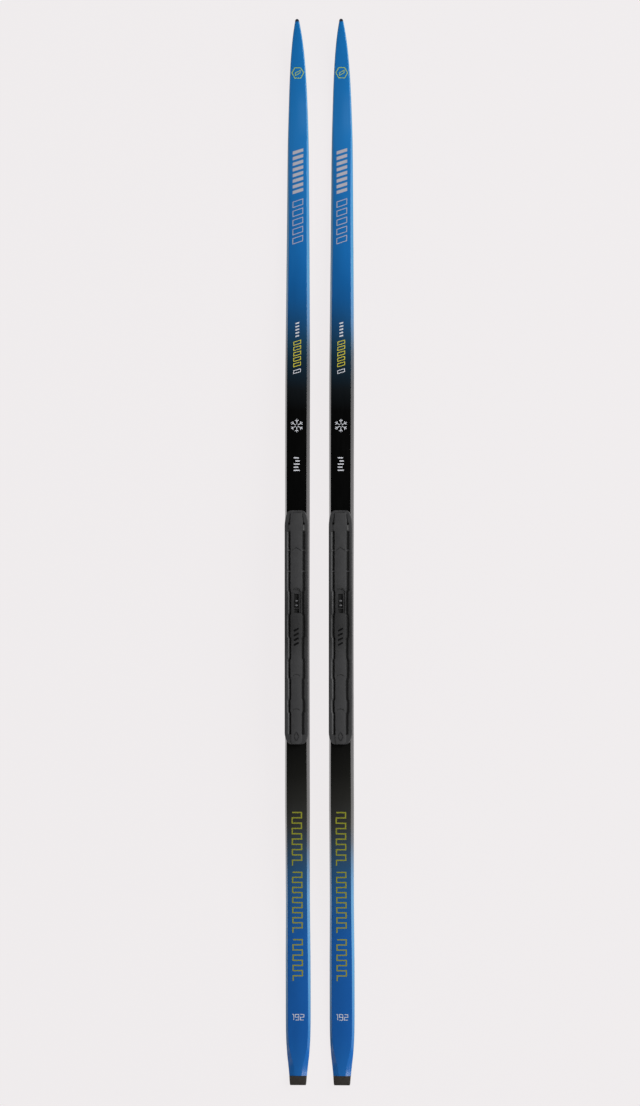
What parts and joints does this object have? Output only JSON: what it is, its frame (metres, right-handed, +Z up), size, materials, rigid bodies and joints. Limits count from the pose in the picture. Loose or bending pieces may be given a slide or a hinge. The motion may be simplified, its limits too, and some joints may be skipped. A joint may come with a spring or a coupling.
{
  "type": "cross country ski pair",
  "caption": "Pair of slender racing skis for cross country, lying base down, each with an arched body, upturned tip and bare binding plate.",
  "frame": {"origin": "midway between the two skis at mid length, on the plane that the running surfaces rest on", "axes": "+Y along the skis towards the tips, +Z up from the running surfaces, +X across towards the right ski"},
  "size_m": [0.1244, 1.92, 0.0554],
  "materials": {
    "top_sheet": "glossy lacquered cap, blue at both ends fading through navy to black around the binding plate",
    "running_base": "black sintered polyethylene, stone ground with fine lengthwise structure",
    "edge_strip": "black hard plastic, lightly brushed",
    "laminate": "carbon fibre laminate",
    "core_foam": "light structural foam",
    "core_block": "light wood block under the binding",
    "filler": "solid plastic spacer",
    "reinforcement": "glass fibre sheet",
    "tip_guard": "dark moulded plastic",
    "tail_guard": "dark brown-grey moulded plastic, satin",
    "adhesive": "grey bonding film",
    "binding_plate": "dark grey moulded plastic, satin with fine grain"
  },
  "bodies": {
    "left_ski": {"left_running_base": "running_base", "left_outer_edge_strip": "edge_strip", "left_inner_edge_strip": "edge_strip", "left_base_laminate": "laminate", "left_tail_filler": "filler", "left_core_rear": "core_foam", "left_core_middle": "core_block", "left_core_front": "core_foam", "left_tip_filler": "filler", "left_binding_reinforcement": "reinforcement", "left_top_laminate": "laminate", "left_top_sheet": "top_sheet", "left_tip_guard": "tip_guard", "left_tail_guard": "tail_guard", "left_plate_adhesive": "adhesive", "left_binding_plate": "binding_plate"},
    "right_ski": {"right_running_base": "running_base", "right_outer_edge_strip": "edge_strip", "right_inner_edge_strip": "edge_strip", "right_base_laminate": "laminate", "right_tail_filler": "filler", "right_core_rear": "core_foam", "right_core_middle": "core_block", "right_core_front": "core_foam", "right_tip_filler": "filler", "right_binding_reinforcement": "reinforcement", "right_top_laminate": "laminate", "right_top_sheet": "top_sheet", "right_tip_guard": "tip_guard", "right_tail_guard": "tail_guard", "right_plate_adhesive": "adhesive", "right_binding_plate": "binding_plate"}
  },
  "joints": [
    {"name": "right_ski_lift", "type": "slide", "parent": "left_ski", "child": "right_ski", "axis": [0, 0, 1], "range_m": [0, 0.25]}
  ]
}
